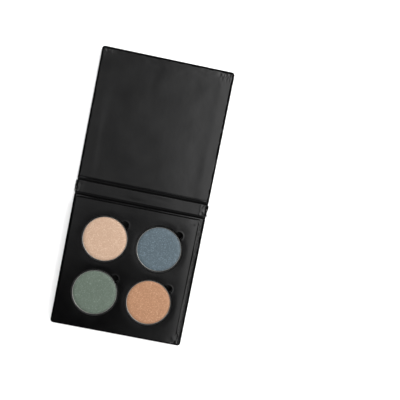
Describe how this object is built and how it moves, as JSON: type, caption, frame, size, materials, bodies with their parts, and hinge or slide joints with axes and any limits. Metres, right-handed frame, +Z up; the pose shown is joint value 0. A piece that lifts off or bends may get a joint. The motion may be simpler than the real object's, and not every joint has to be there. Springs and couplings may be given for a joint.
{
  "type": "eyeshadow palette",
  "caption": "Book-style magnetic makeup palette: a paper-wrapped board lid on a creased spine folds over a tray block with round wells for lift-out pans of pressed powder.",
  "frame": {"origin": "under the centre of the tray block, on the base cover's underside", "axes": "+Z up out of the pans, +X to the right along the hinge, +Y from the tray towards the opened lid"},
  "size_m": [0.0786, 0.1657, 0.0083],
  "materials": {
    "wrap_paper": "soft matte black coated paper",
    "lining_paper": "matte black paper",
    "greyboard": "raw grey board",
    "black_core_board": "black-core board, die-cut edge",
    "adhesive_sheet": "double-sided adhesive tissue",
    "magnet_plating": "nickel-plated magnet",
    "tinplate": "bright drawn tinplate",
    "powder_front_left": "pressed shimmer powder, sage green",
    "powder_front_right": "pressed shimmer powder, bronze",
    "powder_rear_left": "pressed shimmer powder, champagne",
    "powder_rear_right": "pressed shimmer powder, slate blue"
  },
  "bodies": {
    "base": {"base_board": "greyboard", "base_wrap": "wrap_paper", "base_lining": "lining_paper", "base_joint_paper": "wrap_paper", "tray_adhesive": "adhesive_sheet", "tray_floor": "greyboard", "tray_floor_paper": "lining_paper", "tray_core_lower": "black_core_board", "tray_core_upper": "black_core_board", "tray_wrap": "wrap_paper", "tray_magnet_left": "magnet_plating", "tray_magnet_right": "magnet_plating", "pan_magnet_front_left": "magnet_plating", "pan_magnet_front_right": "magnet_plating", "pan_magnet_rear_left": "magnet_plating", "pan_magnet_rear_right": "magnet_plating"},
    "spine": {"spine_board": "greyboard", "spine_wrap": "wrap_paper", "spine_lining": "lining_paper"},
    "lid": {"lid_board": "greyboard", "lid_wrap": "wrap_paper", "lid_lining": "lining_paper", "lid_joint_paper": "wrap_paper", "lid_magnet_left": "magnet_plating", "lid_magnet_right": "magnet_plating"},
    "refill_front_left": {"pan_front_left": "tinplate", "powder_front_left": "powder_front_left"},
    "refill_front_right": {"pan_front_right": "tinplate", "powder_front_right": "powder_front_right"},
    "refill_rear_left": {"pan_rear_left": "tinplate", "powder_rear_left": "powder_rear_left"},
    "refill_rear_right": {"pan_rear_right": "tinplate", "powder_rear_right": "powder_rear_right"}
  },
  "joints": [
    {"name": "base_crease", "type": "hinge", "parent": "base", "child": "spine", "pos_m": [0, 0.0385, 0.00095], "axis": [-1, 0, 0], "range_deg": [-90, 0]},
    {"name": "lid_crease", "type": "hinge", "parent": "spine", "child": "lid", "pos_m": [0, 0.047, 0.00095], "axis": [-1, 0, 0], "range_deg": [-90, 0]},
    {"name": "lift_front_left", "type": "slide", "parent": "base", "child": "refill_front_left", "axis": [0, 0, 1], "range_m": [0, 0.012]},
    {"name": "lift_front_right", "type": "slide", "parent": "base", "child": "refill_front_right", "axis": [0, 0, 1], "range_m": [0, 0.012]},
    {"name": "lift_rear_left", "type": "slide", "parent": "base", "child": "refill_rear_left", "axis": [0, 0, 1], "range_m": [0, 0.012]},
    {"name": "lift_rear_right", "type": "slide", "parent": "base", "child": "refill_rear_right", "axis": [0, 0, 1], "range_m": [0, 0.012]}
  ]
}
